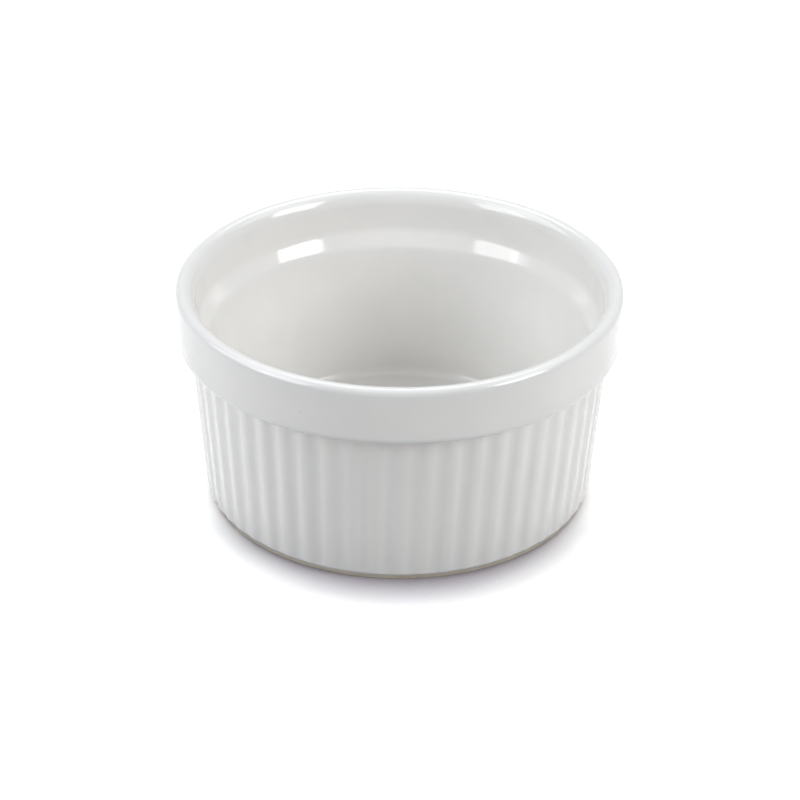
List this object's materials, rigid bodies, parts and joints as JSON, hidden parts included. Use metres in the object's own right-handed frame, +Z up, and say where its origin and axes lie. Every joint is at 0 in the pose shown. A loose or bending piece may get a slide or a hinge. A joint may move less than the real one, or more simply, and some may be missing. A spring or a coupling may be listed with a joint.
{
  "type": "ramekin",
  "caption": "Round white ramekin with a smooth collar band over a fluted tapering wall, a rounded lip, an inner shoulder and a bare foot ring.",
  "frame": {"origin": "on the table under the middle of the pot, in the plane of its foot ring", "axes": "+Z up along the pot's axis, -Y towards the front, where a crest between two flutes stands"},
  "size_m": [0.0899, 0.09, 0.0455],
  "materials": {
    "bare_stoneware": "bare fired clay, matt and slightly sandy",
    "white_glaze": "smooth glossy white glaze"
  },
  "bodies": {
    "root": {"stoneware_body": "bare_stoneware", "glaze_coat": "white_glaze", "base_glaze": "white_glaze"}
  },
  "joints": []
}
